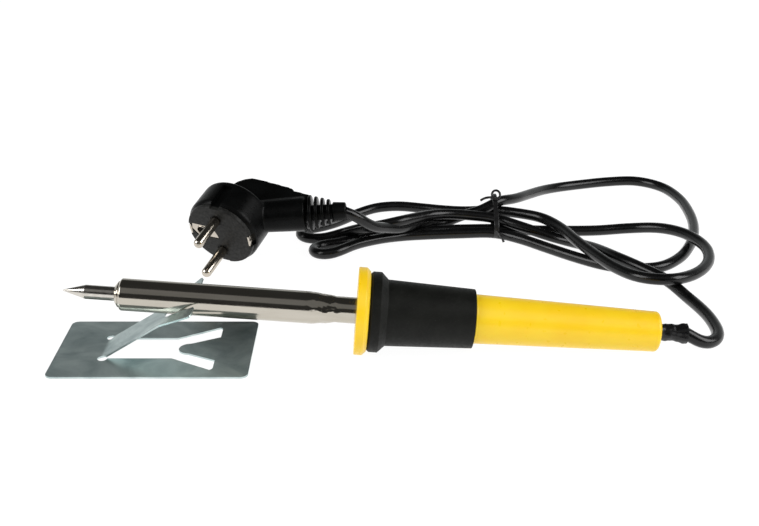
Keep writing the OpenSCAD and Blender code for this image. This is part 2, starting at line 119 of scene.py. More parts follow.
def link(name, mesh, matrix=None):
    obj = bpy.data.objects.new(name, mesh)
    bpy.context.scene.collection.objects.link(obj)
    if matrix is not None:
        obj.matrix_world = matrix
    return obj


def build(name, verts, faces, matrix=None):
    mesh = bpy.data.meshes.new(name)
    mesh.from_pydata([Vector(v) * MM for v in verts], [], faces)
    tidy_mesh(mesh)
    return link(name, mesh, matrix)


def tidy_mesh(mesh, merge=1e-7):
    bm = bmesh.new()
    bm.from_mesh(mesh)
    bmesh.ops.remove_doubles(bm, verts=bm.verts, dist=merge)
    bmesh.ops.recalc_face_normals(bm, faces=bm.faces)
    bm.to_mesh(mesh)
    bm.free()
    mesh.update()


def shade(obj, angle=35):
    """Smooth shading, with the edges sharper than the angle kept crisp."""
    obj.data.polygons.foreach_set("use_smooth", [True] * len(obj.data.polygons))
    obj.data.set_sharp_from_angle(angle=math.radians(angle))
    return obj


def rounded(corners, steps=5):
    """An outline of (along, radius) points. A corner's third number is its rounding's radius."""
    points = []
    for i, corner in enumerate(corners):
        here = np.array(corner[:2], float)
        if len(corner) < 3 or i in (0, len(corners) - 1):
            points.append(tuple(here))
            continue
        back = np.array(corners[i - 1][:2], float) - here
        on = np.array(corners[i + 1][:2], float) - here
        reach_back, reach_on = np.linalg.norm(back), np.linalg.norm(on)
        back, on = back / reach_back, on / reach_on
        half = math.acos(max(-1, min(1, float(back @ on)))) / 2
        cut = min(corner[2] / math.tan(half), 0.48 * reach_back, 0.48 * reach_on)
        middle = here + (back + on) / np.linalg.norm(back + on) * cut / math.cos(half)
        first, last = here + back * cut - middle, here + on * cut - middle
        turn = math.atan2(first[0] * last[1] - first[1] * last[0], first @ last)
        for k in range(steps + 1):
            c, s = math.cos(turn * k / steps), math.sin(turn * k / steps)
            x, y = c * first[0] - s * first[1], s * first[0] + c * first[1]
            points.append((middle[0] + x, middle[1] + y))
    return points


def dense(points, step, low=-1e9, high=1e9):
    """The outline with points at most a step apart where it runs between low and high."""
    out = [points[0]]
    for a, b in zip(points, points[1:]):
        within = min(a[0], b[0]) < high and max(a[0], b[0]) > low
        n = max(1, math.ceil(math.dist(a, b) / step)) if within else 1
        out += [tuple(a[i] + (b[i] - a[i]) * k / n for i in (0, 1)) for k in range(1, n + 1)]
    return out


def lathe(name, outline, matrix=None, around=128, wobble=None, upright=False):
    """Turns (along, radius) points about +X, or about +Z when upright. An outline that starts and
    ends on the axis is a solid, and any other is closed on itself."""
    verts, rings = [], []
    for u, r in outline:
        ring = []
        for k in range(around if r > 1e-6 else 1):
            a = 2 * math.pi * k / around
            w = r + (wobble(u, a, r) if wobble and r > 1e-6 else 0)
            ring.append(len(verts))
            y, z = w * math.cos(a), w * math.sin(a)
            verts.append((y, z, u) if upright else (u, y, z))
        rings.append(ring)
    pairs = list(zip(rings, rings[1:]))
    if len(rings[0]) > 1 and len(rings[-1]) > 1:
        pairs.append((rings[-1], rings[0]))
    faces = []
    for a, b in pairs:
        for k in range(around):
            j = (k + 1) % around
            if len(a) > 1 and len(b) > 1:
                faces.append((a[k], b[k], b[j], a[j]))
            elif len(b) > 1:
                faces.append((a[0], b[k], b[j]))
            elif len(a) > 1:
                faces.append((a[k], b[0], a[j]))
    return build(name, verts, faces, matrix)


def smooth_route(points, step, closed=False, passes=0):
    """Points a step apart on a smooth curve through the given ones."""
    p = [np.array(q, float) for q in points]
    n = len(p)
    if closed:
        ring = [p[-1]] + p + [p[0], p[1]]
    else:
        ring = [2 * p[0] - p[1]] + p + [2 * p[-1] - p[-2]]
    fine = []
    for i in range(n if closed else n - 1):
        a, b, c, d = ring[i : i + 4]
        t = [0.0]
        for q, r in ((a, b), (b, c), (c, d)):
            t.append(t[-1] + max(1e-6, np.linalg.norm(r - q)) ** 0.5)
        for k in range(24):
            s = t[1] + (t[2] - t[1]) * k / 24
            ab = a * (t[1] - s) / (t[1] - t[0]) + b * (s - t[0]) / (t[1] - t[0])
            bc = b * (t[2] - s) / (t[2] - t[1]) + c * (s - t[1]) / (t[2] - t[1])
            cd = c * (t[3] - s) / (t[3] - t[2]) + d * (s - t[2]) / (t[3] - t[2])
            abc = ab * (t[2] - s) / (t[2] - t[0]) + bc * (s - t[0]) / (t[2] - t[0])
            bcd = bc * (t[3] - s) / (t[3] - t[1]) + cd * (s - t[1]) / (t[3] - t[1])
            fine.append(abc * (t[2] - s) / (t[2] - t[1]) + bcd * (s - t[1]) / (t[2] - t[1]))
    fine.append(p[0] if closed else p[-1])
    even = resample(np.array(fine), step)
    for _ in range(passes):
        inner = even[1:-1] + 0.5 * ((even[:-2] + even[2:]) / 2 - even[1:-1])
        even = np.vstack([even[:1], inner, even[-1:]])
    return even[:-1] if closed else even


def resample(points, step):
    along = np.concatenate([[0], np.cumsum(np.linalg.norm(np.diff(points, axis=0), axis=1))])
    n = max(2, round(along[-1] / step))
    at = np.linspace(0, along[-1], n + 1)
    return np.stack([np.interp(at, along, points[:, i]) for i in range(3)], 1)


def frames_along(path, closed=False):
    """A side and an up direction at each point of a path, turning as little as they can."""
    n = len(path)
    ahead = np.roll(path, -1, 0) - np.roll(path, 1, 0)
    if not closed:
        ahead[0], ahead[-1] = path[1] - path[0], path[-1] - path[-2]
    ahead /= np.linalg.norm(ahead, axis=1)[:, None]
    side = np.cross(ahead[0], (0, 0, 1) if abs(ahead[0][2]) < 0.9 else (1, 0, 0))
    out = []
    for i in range(n):
        side = side - ahead[i] * (side @ ahead[i])
        side /= np.linalg.norm(side)
        out.append((side.copy(), np.cross(side, ahead[i])))
    return out


def sweep(name, path, section, closed=False):
    """A tube along a path. section(i, a) is the (side, up) offset at point i and angle a, or is a
    radius."""
    sides = 16
    if not callable(section):
        radius = section
        section = lambda i, a: (radius * math.cos(a), radius * math.sin(a))
    path = np.asarray(path, float)
    verts = []
    for i, (side, up) in enumerate(frames_along(path, closed)):
        for k in range(sides):
            s, u = section(i, 2 * math.pi * k / sides)
            verts.append(path[i] + side * s + up * u)
    n = len(path)
    faces = []
    for i in range(n if closed else n - 1):
        for k in range(sides):
            a, b = i * sides + k, i * sides + (k + 1) % sides
            c, d = (b + sides) % len(verts), (a + sides) % len(verts)
            faces.append((a, b, c, d))
    if not closed:
        faces.append(tuple(range(sides)))
        faces.append(tuple(range((n - 1) * sides, n * sides)))
    return build(name, verts, faces)


def join(name, *objs):
    """One object of several, in the first one's frame."""
    first = objs[0]
    bm = bmesh.new()
    for obj in objs:
        mesh = obj.data.copy()
        mesh.transform(first.matrix_world.inverted() @ obj.matrix_world)
        bm.from_mesh(mesh)
    bm.to_mesh(first.data)
    bm.free()
    for obj in objs[1:]:
        bpy.data.objects.remove(obj)
    first.name = name
    first.data.name = name
    return first


def apply_modifiers(obj):
    bpy.context.view_layer.update()
    mesh = bpy.data.meshes.new_from_object(obj.evaluated_get(bpy.context.evaluated_depsgraph_get()))
    obj.modifiers.clear()
    obj.data = mesh
    return obj


def cut(obj, *cutters, operation="DIFFERENCE"):
    for cutter in cutters:
        step = obj.modifiers.new("cut", "BOOLEAN")
        step.object = cutter
        step.operation = operation
        step.solver = "EXACT"
    apply_modifiers(obj)
    for cutter in cutters:
        bpy.data.objects.remove(cutter)
    tidy_mesh(obj.data, 1e-6)
    return obj


def prism(name, outline, low, high, matrix=None):
    """A straight solid over an outline of (x, y) points."""
    n = len(outline)
    verts = [(x, y, z) for z in (low, high) for x, y in outline]
    faces = [tuple(range(n)), tuple(range(n, 2 * n))]
    faces += [(i, (i + 1) % n, (i + 1) % n + n, i + n) for i in range(n)]
    return build(name, verts, faces, matrix)


def rod(name, u0, u1, radius, y=0.0, z=0.0, around=32, matrix=None, upright=False):
    """A plain round cutter or pin along the axis, off it by (y, z)."""
    shift = Matrix.Translation(Vector((y, z, 0) if upright else (0, y, z)) * MM)
    outline = [(u0, 0), (u0, radius), (u1, radius), (u1, 0)]
    return lathe(name, outline, (matrix or Matrix()) @ shift, around, upright=upright)


# ---- Materials ----


RANGE = ("From Min", "From Max", "To Min", "To Max")


class Surface:
    """A Principled material whose patterns are measured in millimetres of the piece's own frame."""

    def __init__(self, name, metallic=0.0, roughness=0.5, **fixed):
        self.material = bpy.data.materials.new(name)
        self.material.use_nodes = True
        self.tree = self.material.node_tree
        self.shader = self.tree.nodes["Principled BSDF"]
        self.shader.inputs["Metallic"].default_value = metallic
        self.shader.inputs["Roughness"].default_value = roughness
        for socket, value in fixed.items():
            self.shader.inputs[socket.replace("_", " ")].default_value = value
        self.place = self.node("ShaderNodeTexCoord").outputs["Object"]

    def node(self, kind, **values):
        node = self.tree.nodes.new(kind)
        for key, value in values.items():
            setattr(node, key, value)
        return node

    def wire(self, source, target):
        self.tree.links.new(source, target)

    def mapped(self, stretch=(1, 1, 1)):
        node = self.node("ShaderNodeMapping")
        node.inputs["Scale"].default_value = [s / MM for s in stretch]
        self.wire(self.place, node.inputs["Vector"])
        return node.outputs["Vector"]

    def noise(self, size, detail=3.0, rough=0.5, stretch=(1, 1, 1), warp=0.0):
        node = self.node("ShaderNodeTexNoise")
        node.inputs["Scale"].default_value = 1 / size
        node.inputs["Detail"].default_value = detail
        node.inputs["Roughness"].default_value = rough
        node.inputs["Distortion"].default_value = warp
        self.wire(self.mapped(stretch), node.inputs["Vector"])
        return node.outputs["Fac"]

    def cells(self, size, stretch=(1, 1, 1)):
        node = self.node("ShaderNodeTexVoronoi")
        node.inputs["Scale"].default_value = 1 / size
        self.wire(self.mapped(stretch), node.inputs["Vector"])
        return node.outputs["Distance"]

    def spread(self, value, low, high, at=(0.3, 0.7)):
        node = self.node("ShaderNodeMapRange")
        for key, number in zip(RANGE, (*at, low, high)):
            node.inputs[key].default_value = number
        self.wire(value, node.inputs["Value"])
        return node.outputs["Result"]

    def ramp(self, value, *stops):
        node = self.node("ShaderNodeValToRGB")
        marks = node.color_ramp.elements
        while len(marks) < len(stops):
            marks.new(0.5)
        for mark, (place, colour) in zip(marks, stops):
            mark.position = place
            mark.color = (*colour, 1)
        self.wire(value, node.inputs["Fac"])
        return node.outputs["Color"]

    def mix(self, share, a, b):
        node = self.node("ShaderNodeMix", data_type="RGBA")
        self.wire(share, node.inputs["Factor"])
        for value, socket in ((a, node.inputs["A"]), (b, node.inputs["B"])):
            if isinstance(value, tuple):
                socket.default_value = (*value, 1)
            else:
                self.wire(value, socket)
        return node.outputs["Result"]

    def colour(self, value):
        self.wire(value, self.shader.inputs["Base Color"])
        return self

    def rough(self, value):
        self.wire(value, self.shader.inputs["Roughness"])
        return self

    def bump(self, *layers):
        """Layers of (height, depth in mm), each adding its own relief."""
        normal = None
        for height, depth in layers:
            node = self.node("ShaderNodeBump")
            node.inputs["Strength"].default_value = 1.0
            node.inputs["Distance"].default_value = depth * MM
            self.wire(height, node.inputs["Height"])
            if normal:
                self.wire(normal, node.inputs["Normal"])
            normal = node.outputs["Normal"]
        self.wire(normal, self.shader.inputs["Normal"])
        return self


def plastic(name, dark, light, roughness, grain, depth, blotch=12.0, **fixed):
    s = Surface(name, roughness=roughness, **fixed)
    s.colour(s.ramp(s.noise(blotch, 3), (0.3, dark), (0.7, light)))
    s.rough(s.spread(s.noise(grain * 6, 2), roughness - 0.05, roughness + 0.07))
    return s.bump((s.noise(grain, 3), depth), (s.noise(blotch, 2), depth * 4))


def metal(name, dark, light, roughness, grain=0.25, depth=0.002, stretch=(1, 1, 1), **fixed):
    s = Surface(name, metallic=1.0, roughness=roughness, **fixed)
    s.colour(s.ramp(s.noise(5, 4, stretch=stretch), (0.3, dark), (0.7, light)))
    s.rough(s.spread(s.noise(1.5, 4, stretch=stretch), roughness * 0.75, roughness * 1.35))
    return s.bump((s.noise(grain, 3, stretch=stretch), depth), (s.noise(9, 2), depth * 6))


def make_materials():
    m = {}
    m["nickel"] = metal(
        "polished_nickel", (0.50, 0.465, 0.40), (0.585, 0.55, 0.485), 0.13, 0.35, 0.0012,
        (0.15, 1, 1),
    )
    m["bit_nickel"] = metal(
        "bit_nickel", (0.60, 0.57, 0.52), (0.72, 0.69, 0.64), 0.2, 0.3, 0.0015, (1.6, 0.4, 0.4),
    )
    m["stainless"] = metal("satin_steel", (0.42, 0.41, 0.39), (0.55, 0.54, 0.52), 0.32, 0.2, 0.002)
    m["contact_nickel"] = metal(
        "contact_nickel", (0.50, 0.45, 0.38), (0.60, 0.55, 0.48), 0.16, 0.3, 0.0015,
    )
    m["brass"] = metal("tinned_brass", (0.5, 0.36, 0.16), (0.68, 0.52, 0.27), 0.3)
    m["heater_wire"] = metal("oxidised_wire", (0.10, 0.09, 0.09), (0.24, 0.21, 0.19), 0.45)
    yellow = plastic(
        "yellow_moulding", (0.95, 0.60, 0.010), (0.98, 0.66, 0.016), 0.32, 0.5, 0.0012, 18.0,
        Subsurface_Weight=0.12, Subsurface_Scale=0.002,
    )
    yellow.shader.inputs["Subsurface Radius"].default_value = (1.0, 0.5, 0.1)
    m["yellow_plastic"] = yellow
    grip = Surface("grained_black", roughness=0.5, Specular_IOR_Level=0.18)
    specks = grip.cells(0.75)
    tone = grip.ramp(
        grip.noise(9, 4), (0.3, (0.0035, 0.0038, 0.003)), (0.7, (0.008, 0.0085, 0.007)),
    )
    grip.colour(grip.mix(grip.spread(specks, 0.28, 0.0, (0.03, 0.13)), tone, (0.16, 0.16, 0.15)))
    grip.rough(grip.spread(grip.noise(1.2, 3), 0.44, 0.62))
    grip.bump((grip.noise(0.22, 3, 0.6), 0.022), (grip.noise(1.1, 2), 0.02))
    m["black_grip"] = grip
    m["cord_pvc"] = plastic(
        "cord_jacket", (0.002, 0.002, 0.0022), (0.005, 0.005, 0.0052), 0.22, 0.2, 0.0006, 7.0,
        Specular_IOR_Level=0.36,
    )
    m["sleeve_pvc"] = plastic(
        "sleeve_pvc", (0.004, 0.004, 0.0045), (0.008, 0.008, 0.0085), 0.27, 0.6, 0.02, 4.0,
        Specular_IOR_Level=0.4,
    )
    m["plug_plastic"] = plastic(
        "plug_moulding", (0.0012, 0.0013, 0.0013), (0.003, 0.0032, 0.0032), 0.3, 0.3, 0.003, 9.0,
        Specular_IOR_Level=0.09,
    )
    face = Surface("carrier_moulding", roughness=0.5, Specular_IOR_Level=0.18)
    tone = face.ramp(
        face.noise(1.6, 4, 0.65), (0.35, (0.006, 0.006, 0.0056)), (0.72, (0.025, 0.025, 0.0235)),
    )
    face.colour(tone)
    face.rough(face.spread(face.noise(1.1, 3), 0.4, 0.6))
    face.bump((face.noise(0.4, 3), 0.01), (face.noise(2.5, 2), 0.04))
    m["plug_face_plastic"] = face
    m["tie_plastic"] = plastic(
        "tie_plastic", (0.005, 0.005, 0.0055), (0.012, 0.012, 0.012), 0.32, 0.3, 0.006, 2.0,
    )
    m["mica"] = plastic("mica_sheet", (0.42, 0.30, 0.15), (0.62, 0.50, 0.30), 0.35, 0.8, 0.01, 4.0)
    m["ceramic"] = plastic(
        "fired_ceramic", (0.72, 0.69, 0.62), (0.82, 0.80, 0.74), 0.55, 0.3, 0.006,
    )
    m["white_plastic"] = plastic(
        "moulded_nylon", (0.70, 0.70, 0.66), (0.80, 0.80, 0.77), 0.45, 0.3, 0.004,
    )
    m["brown_core"] = plastic(
        "brown_insulation", (0.16, 0.06, 0.025), (0.22, 0.09, 0.04), 0.38, 0.3, 0.003,
    )
    m["blue_core"] = plastic(
        "blue_insulation", (0.03, 0.11, 0.42), (0.05, 0.16, 0.52), 0.38, 0.3, 0.003,
    )
    striped = Surface("striped_insulation", roughness=0.38)
    stripe = striped.node("ShaderNodeTexWave", bands_direction="Y")
    stripe.inputs["Scale"].default_value = 0.16
    striped.wire(striped.mapped(), stripe.inputs["Vector"])
    tone = striped.ramp(
        stripe.outputs["Fac"], (0.48, (0.06, 0.34, 0.05)), (0.52, (0.86, 0.72, 0.04)),
    )
    striped.colour(tone)
    striped.bump((striped.noise(0.3), 0.003))
    m["earth_core"] = striped
    braid = Surface("glass_braid", roughness=0.7)
    weave = braid.cells(0.35, stretch=(0.6, 1, 1))
    braid.colour(braid.ramp(weave, (0.0, (0.55, 0.52, 0.42)), (0.5, (0.84, 0.81, 0.70))))
    braid.bump((weave, 0.04))
    m["glass_fibre"] = braid
    zinc = Surface("zinc_plate", metallic=1.0, roughness=0.38)
    cloud = zinc.noise(17, 5, 0.55, warp=0.8)
    zinc.colour(zinc.ramp(cloud, (0.3, (0.35, 0.445, 0.45)), (0.7, (0.70, 0.80, 0.785))))
    zinc.rough(zinc.spread(zinc.noise(3.5, 5), 0.3, 0.46))
    zinc.bump((zinc.noise(0.5, 4, stretch=(1, 0.12, 1)), 0.003), (zinc.noise(14, 2), 0.06))
    m["zinc_sheet"] = zinc
    return {key: surface.material for key, surface in m.items()}


M = make_materials()


def dress(obj, *materials):
    obj.data.materials.clear()
    for name in materials:
        obj.data.materials.append(M[name])
    return obj


def place(obj, body, slot, *replaced):
    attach(obj, body)
    if replaced:
        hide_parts(*replaced)
    return obj


# Every node that keeps its own mesh takes its slot's finish
for row in frame["record"]["subparts"]:
    dress(NODES[row["node"]], row["material_slot"])

# ---- Cord ----
cord_path = smooth_route(CORD_ROUTE, 1.5, passes=6)
cord = shade(sweep("cord", cord_path, CORD_R))
dress(cord, "cord_pvc")

# ---- Bit and barrel ----


def turned_ripple(u, a, r):
    return 0.01 * noise.noise(Vector((u * 1.7, math.cos(a) * 0.6, math.sin(a) * 0.6)))


def dimples(u, a, r):
    """The swaging hammers leave long soft flats round the barrel's neck."""
    here = max(0.0, min(1.0, (u + 21.5) / 3.5)) * max(0.0, min(1.0, (-5.5 - u) / 3.5))
    lobes = noise.noise(Vector((u * 0.28, math.cos(a) * 2.6, math.sin(a) * 2.6)))
    fine = noise.noise(Vector((u * 0.9 + 7, math.cos(a) * 6, math.sin(a) * 6)))
    wave = 0.012 * noise.noise(Vector((u * 0.05, math.cos(a) * 1.2, math.sin(a) * 1.2)))
    return here * (0.20 * lobes + 0.07 * fine) + wave


bit = lathe(
    "soldering_bit",
    dense(
        rounded(
            [
                (-120.6, 0), (-120.45, 0.32, 0.2), (-111.4, 2.95, 1.2), (-40.6, 2.95, 0.3),
                (-40, 2.4), (-40, 0),
            ]
        ),
        0.8,
    ),
    IRON, 96, turned_ripple,
)
barrel = lathe(
    "heater_barrel",
    dense(
        rounded(
            [
                (-97.4, 3.3), (-99.1, 3.3), (-99.1, 3.9, 0.5), (-98.0, 5.3, 0.5), (-97.7, 5.5),
                (-97.62, 5.4), (-97.5, 5.4), (-97.42, 5.6), (-96.6, 6.7, 0.9), (-18.8, 6.7, 5.0),
                (-16.3, 6.4, 3.0), (-10.7, 5.75, 3.0), (-8.2, 5.45, 2.0), (18, 5.45), (18, 4.95),
                (-8.2, 4.95), (-10.7, 5.25), (-16.3, 5.9), (-18.8, 6.2), (-96.4, 6.2), (-97.4, 4.5),
            ]
        ),
        0.45, -101, -2,
    ),
    IRON, 192, dimples,
)
SCREW_U = -92.5
screw_line = (
    IRON @ Matrix.Translation(Vector((SCREW_U, 0, 0)) * MM) @ Matrix.Rotation(math.pi / 2, 4, "Z")
)
cut(barrel, rod("screw_hole", 0, 12, 1.6, matrix=screw_line))
for obj, finish in ((bit, "bit_nickel"), (barrel, "nickel")):
    dress(shade(obj, 30), finish)
place(bit, "bit", "nickel", "bit")
place(barrel, "iron", "nickel", "barrel")

# ---- Guard, grip and handle ----


def soft_ripple(u, a, r):
    return 0.012 * noise.noise(Vector((u * 0.09, math.cos(a) * 1.5, math.sin(a) * 1.5)))


def screw_cutters(*spans):
    """Cutters (from, to, radius) for the guard's three screws, on their 8 mm circle."""
    out = []
    for angle in (30, 150, 270):
        y, z = 8 * math.cos(math.radians(angle)), 8 * math.sin(math.radians(angle))
        out += [rod("screw_way", *span, y, z, matrix=IRON) for span in spans]
    return out


guard = lathe(
    "finger_guard_moulding",
    rounded(
        [
            (2.5, 5.65), (0, 5.65, 0.3), (0, 16.4, 0.6), (0.15, 16.8, 0.4), (0, 17.4, 0.4),
            (0, 18.2, 0.55), (3.4, 18.2, 0.5), (5, 16.6, 0.3), (5, 5.65),
        ]
    ),
    IRON, 192, soft_ripple,
)
cut(guard, *screw_cutters((-1, 1.6, 2.15), (1, 6, 1.2)))
grip = lathe(
    "grip_moulding",
    rounded(
        [
            (7, 15.25), (5.2, 15.25), (5.2, 15.9, 0.2), (6.1, 16.7, 0.35), (9.6, 16.7, 0.3),
            (12.5, 13.8, 0.5), (48.6, 12.3, 0.35), (48.6, 10.05), (8.65, 10.05), (8.65, 15.25),
        ]
    ),
    IRON, 192, soft_ripple,
)
handle = lathe(
    "handle_moulding",
    dense(
        rounded(
            [
                (7, 5.6), (7, 10.4), (5, 10.4), (5, 15.2), (8.6, 15.2), (8.6, 10), (48.8, 10),
                (48.8, 10.5, 0.3), (49.6, 10.25, 0.8), (122.3, 8.42, 30.0), (125.8, 8.42, 3.4),
                (125.8, 3.7, 0.25), (120.8, 3.7), (120.8, 5.2), (106.8, 7.5), (20, 7.5), (20, 5.6),
            ],
            8,
        ),
        2.0, 49, 125.6,
    ),
    IRON, 160, soft_ripple,
)
cut(handle, *screw_cutters((4, 16, 1.1)))
for obj, finish in ((guard, "yellow_plastic"), (grip, "black_grip"), (handle, "yellow_plastic")):
    dress(shade(obj, 32), finish)
place(guard, "iron", "yellow_plastic", "finger_guard")
place(grip, "iron", "black_grip", "grip_sleeve")
place(handle, "iron", "yellow_plastic", "handle")


def creases(u, a, r):
    """The thin sleeve is gathered in soft rings, and more so towards its flared end."""
    if u < 125.5 or r < 3.0:
        return 0.0
    rings = noise.noise(Vector((u * 0.62, math.cos(a) * 0.75, math.sin(a) * 0.75)))
    folds = noise.noise(Vector((u * 0.22 + 9, math.cos(a) * 1.9, math.sin(a) * 1.9)))
    return 0.42 * rings + 0.34 * folds * min(1.0, (u - 125.5) / 6)


sleeve = lathe(
    "strain_sleeve_pvc",
    dense(
        rounded(
            [
                (123, 2.75), (117, 2.75), (117, 4.9), (120.7, 4.9), (120.7, 3.55),
                (132.8, 3.5, 4.0), (137.8, 4.3, 0.1), (137.8, 3.9, 0.1), (134.8, 2.75, 1.0),
            ]
        ),
        0.35, 125, 138,
    ),
    IRON, 96, creases,
)
dress(shade(sleeve, 50), "sleeve_pvc")
place(sleeve, "iron", "cord_pvc", "strain_sleeve")

# ---- Twist tie ----


def strap_section(i, a):
    """A flat strap with soft edges: wide along the bundle and thin across it."""
    c, s = math.cos(a), math.sin(a)
    return 0.36 * math.copysign(abs(c) ** 0.6, c), 1.25 * math.copysign(abs(s) ** 0.6, s)


tie_path = smooth_route(TIE_ROUTE[:-1], 1.2, closed=True)
strap = sweep("tie_strap", tie_path, strap_section, closed=True)
ring = sweep(
    "tie_ring",
    [
        (TIE_X + 0.3 + 2.1 * math.cos(a), 138 + 1.2 * math.sin(a), 20.2 + 1.9 * math.sin(a))
        for a in np.linspace(0, 2 * math.pi, 33)[:-1]
    ],
    0.6, closed=True,
)
tails = [
    sweep("tie_tail", smooth_route(points, 0.8), 0.62)
    for points in (
        [(69, 137.5, 18.2), (66.5, 137.2, 19.0), (63.5, 137.0, 18.6), (61.2, 136.8, 17.4)],
        [(69, 122.5, 6.0), (70.2, 121.0, 4.6), (71.5, 119.6, 3.2), (72.2, 118.6, 1.4)],
    )
]
tie = join("twist_tie_strap", strap, ring, *tails)
dress(shade(tie, 40), "tie_plastic")
place(tie, "base", "plug_plastic", "twist_tie")

# ---- Plug ----
boot_frame = (
    PLUG
    @ Matrix.Translation(Vector((0, 0, BOOT_ROOT)) * MM)
    @ Matrix.Rotation(math.pi / 2 - BOOT_LEAN, 4, "Y")
)

BODY_RIM, BODY_H, RIM_EDGE, GRIP_HALF = 18.4, 26.5, 2.2, 6.8
CLIP_X, CLIP_WAY = 17.9, [(-2.5, -3.5), (2.5, -3.5), (2.5, 3.5), (-2.5, 3.5)]
PIN_Y, EARTH_X = 9.5, -10
RIBS, RIB_R, RIB_STEP, RIB_PITCH, RIB_T, RIB_START = 4, 9.0, 0.85, 2.95, 1.5, 1.4


def clip_ways(depth):
    """Cutters for the notches at both sides, where the sprung contacts show."""
    return [
        prism(f"notch_{side}", [(side * CLIP_X + x, y) for x, y in CLIP_WAY], -1, depth, PLUG)
        for side in (-1, 1)
    ]


def guide_ways(depth):
    """Cutters for the guide grooves, in line with the pins."""
    return [
        prism(
            f"guide_{side}",
            [(-3.0, side * 21), (3.0, side * 21), (2.3, side * 16.3), (-2.3, side * 16.3)],
            -1, depth, PLUG,
        )
        for side in (-1, 1)
    ]


body = lathe(
    "plug_moulding",
    dense(
        rounded(
            [
                (2.0, 0), (2.0, 17.5), (4.0, PLUG_R, 1.5), (BODY_RIM, PLUG_R - 0.1, RIM_EDGE),
                (BODY_RIM + 2.6, 12, 8), (BODY_H, 5, 8), (BODY_H, 0),
            ],
            8,
        ),
        1.5,
    ),
    PLUG, 128, upright=True,
)
grip_block = prism(
    "grip_block",
    [
        (-9, 18), (-7.5, 28.5), (-5.6, 32.1), (-3, 34.5), (0, 36.1), (3, 36.4), (21, 35.2),
        (23.5, 34.6), (24.8, 33.4), (33.5, 33.2), (33.5, 20.5), (15, 17),
    ],
    -GRIP_HALF, GRIP_HALF, PLUG @ Matrix.Rotation(math.pi / 2, 4, "X"),
)
neck = lathe(
    "plug_neck",
    [(4, 0), (4, 7.6), (34, OUTLET_R), (36.0, OUTLET_R - 0.1), (BOOT_NECK, 7.0), (BOOT_NECK, 0)],
    boot_frame, 64, upright=True,
)
cut(body, grip_block, neck, operation="UNION")
voxels = body.modifiers.new("remesh", "REMESH")
voxels.mode = "VOXEL"
voxels.voxel_size = 0.45 * MM
apply_modifiers(body)
soften = body.modifiers.new("soften", "SMOOTH")
soften.iterations = 6
apply_modifiers(body)
cut(body, *clip_ways(3.2), *guide_ways(15.5))
ribs = []
for i in range(RIBS):
    r, z = RIB_R - RIB_STEP * i, BOOT_NECK + RIB_START + RIB_PITCH * i
    outline = rounded([(z, 3), (z, r, 0.55), (z + RIB_T, r - 0.35, 0.55), (z + RIB_T, 3)])
    ribs.append(lathe(f"rib_{i}", outline, boot_frame, 72, upright=True))
collar = lathe(
    "boot_collar",
    rounded(
        [
            (34, 2.75), (34, 3.9), (49.4, 3.7, 0.4), (49.9, 4.7, 0.5), (BOOT_END, 4.2, 0.9),
            (BOOT_END, 2.75, 0.2), (50, 2.75),
        ]
    ),
    boot_frame, 72, upright=True,
)
body = join("plug_moulding", body, collar, *ribs)
dress(shade(body, 38), "plug_plastic")
place(body, "base", "plug_plastic", "plug_body")

face = lathe(
    "plug_carrier",
    rounded(
        [(0, 0), (0, 17.1, 0.6), (FACE_T, 17.5, 0.1), (FACE_T, 14.95), (9.75, 14.95), (9.75, 0)]
    ),
    PLUG, 128, upright=True,
)
wells = [rod("well", -1, 7, 2.05, 0, s * PIN_Y, matrix=PLUG, upright=True) for s in (-1, 1)]
wells += [rod("rim", -1, 0.35, 3.1, 0, s * PIN_Y, matrix=PLUG, upright=True) for s in (-1, 1)]
wells.append(rod("earth_way", -1, 7, 3.0, EARTH_X, 0, matrix=PLUG, upright=True))
EARTH_PLATE = [(-15, -3.9), (-3.6, -3.9), (-1.5, 0.5), (-0.8, 3.0), (-12.5, 3.4), (-15.6, 0)]
wells.append(prism("earth_recess", EARTH_PLATE, -1, 0.5, PLUG))
cut(face, *wells, *clip_ways(15), *guide_ways(2.5))
dress(shade(face, 30), "plug_face_plastic")
place(face, "base", "plug_face_plastic", "plug_face")

pins = [
    lathe(
        f"pin_{s}",
        rounded([(6.85, 0), (6.85, 2), (-0.05, 2), (-0.05, 2.4, 0.1), (-16.6, 2.4)])
        + [
            (-16.6 - 2.4 * math.sin(t), 2.4 * math.cos(t))
            for t in np.linspace(0.1, math.pi / 2 - 0.02, 12)
        ]
        + [(-19, 0)],
        PLUG @ Matrix.Translation(Vector((0, s * PIN_Y, 0)) * MM), 64, upright=True,
    )
    for s in (-1, 1)
]
pins = join("contact_pins", *pins)
dress(shade(pins, 40), "contact_nickel")
place(pins, "base", "contact_nickel", "plug_pins")

clips = []
for side in (-1, 1):
    at_side = (
        PLUG
        @ Matrix.Translation(Vector((side * 15.9, 0, 0)) * MM)
        @ Matrix.Rotation(0 if side > 0 else math.pi, 4, "Z")
    )
    outline = [
        (-0.4, -2.8), (0.4, -2.8), (0.55, -1.4), (0.75, 0), (0.55, 1.4), (0.4, 2.8), (-0.4, 2.8),
    ]
    clips.append(prism(f"clip_{side}", outline, 0, 11, at_side))
clips = join("earth_clips", *clips)
dress(shade(clips, 30), "contact_nickel")
place(clips, "base", "contact_nickel", "plug_earth_clips")

